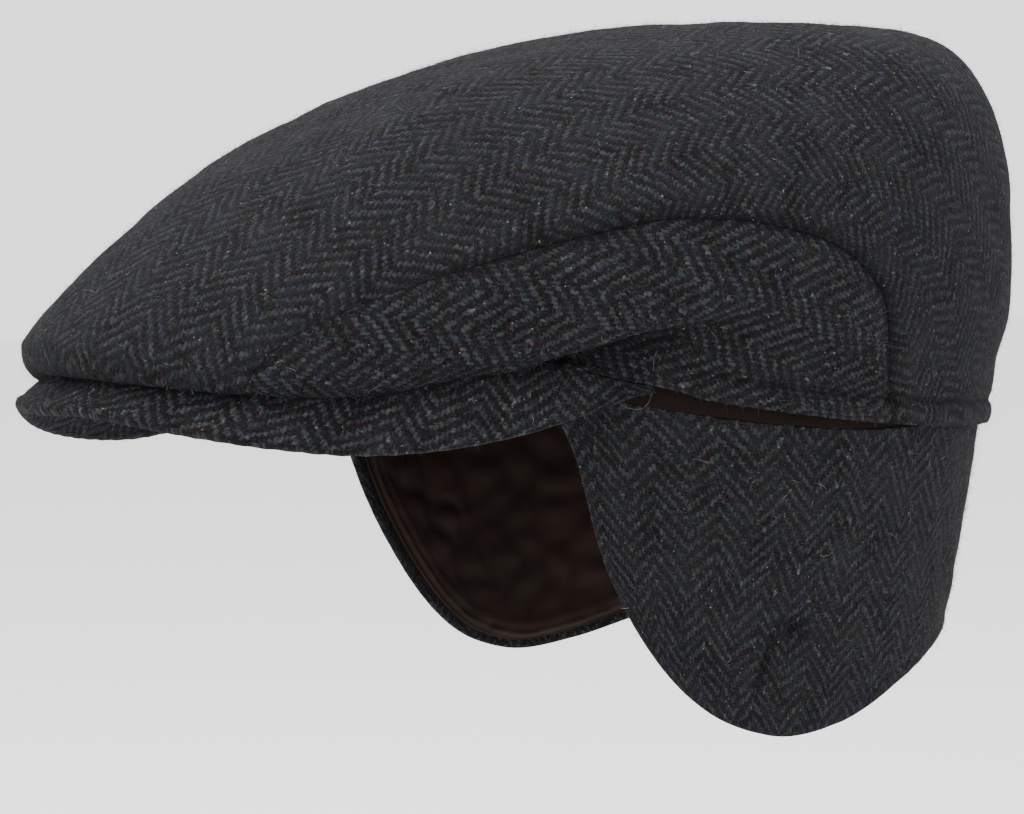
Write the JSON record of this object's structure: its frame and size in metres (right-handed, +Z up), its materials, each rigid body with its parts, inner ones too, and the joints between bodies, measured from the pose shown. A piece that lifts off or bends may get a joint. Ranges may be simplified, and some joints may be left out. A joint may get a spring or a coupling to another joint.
{
  "type": "flat cap with earflaps",
  "caption": "Herringbone tweed flat cap with a stiff peak, a full crown folded over it, and soft quilt-lined earflaps hanging round the sides and back.",
  "frame": {"origin": "centre of the head opening, level with the cap's lower edge above the ears, where a head holds the cap", "axes": "+Z up, the peak points to -Y, the wearer's left is +X"},
  "size_m": [0.1876, 0.2662, 0.1775],
  "materials": {
    "tweed": "herringbone wool tweed, charcoal and grey-blue",
    "band_cotton": "dark brown cotton tape",
    "quilted_satin": "dark brown quilted satin with a soft sheen"
  },
  "bodies": {
    "root": {"crown_top_panel": "tweed", "side_panel_left": "tweed", "side_panel_right": "tweed", "peak": "tweed", "inner_band": "band_cotton", "earflap_shell": "tweed", "earflap_lining": "quilted_satin"}
  },
  "joints": []
}
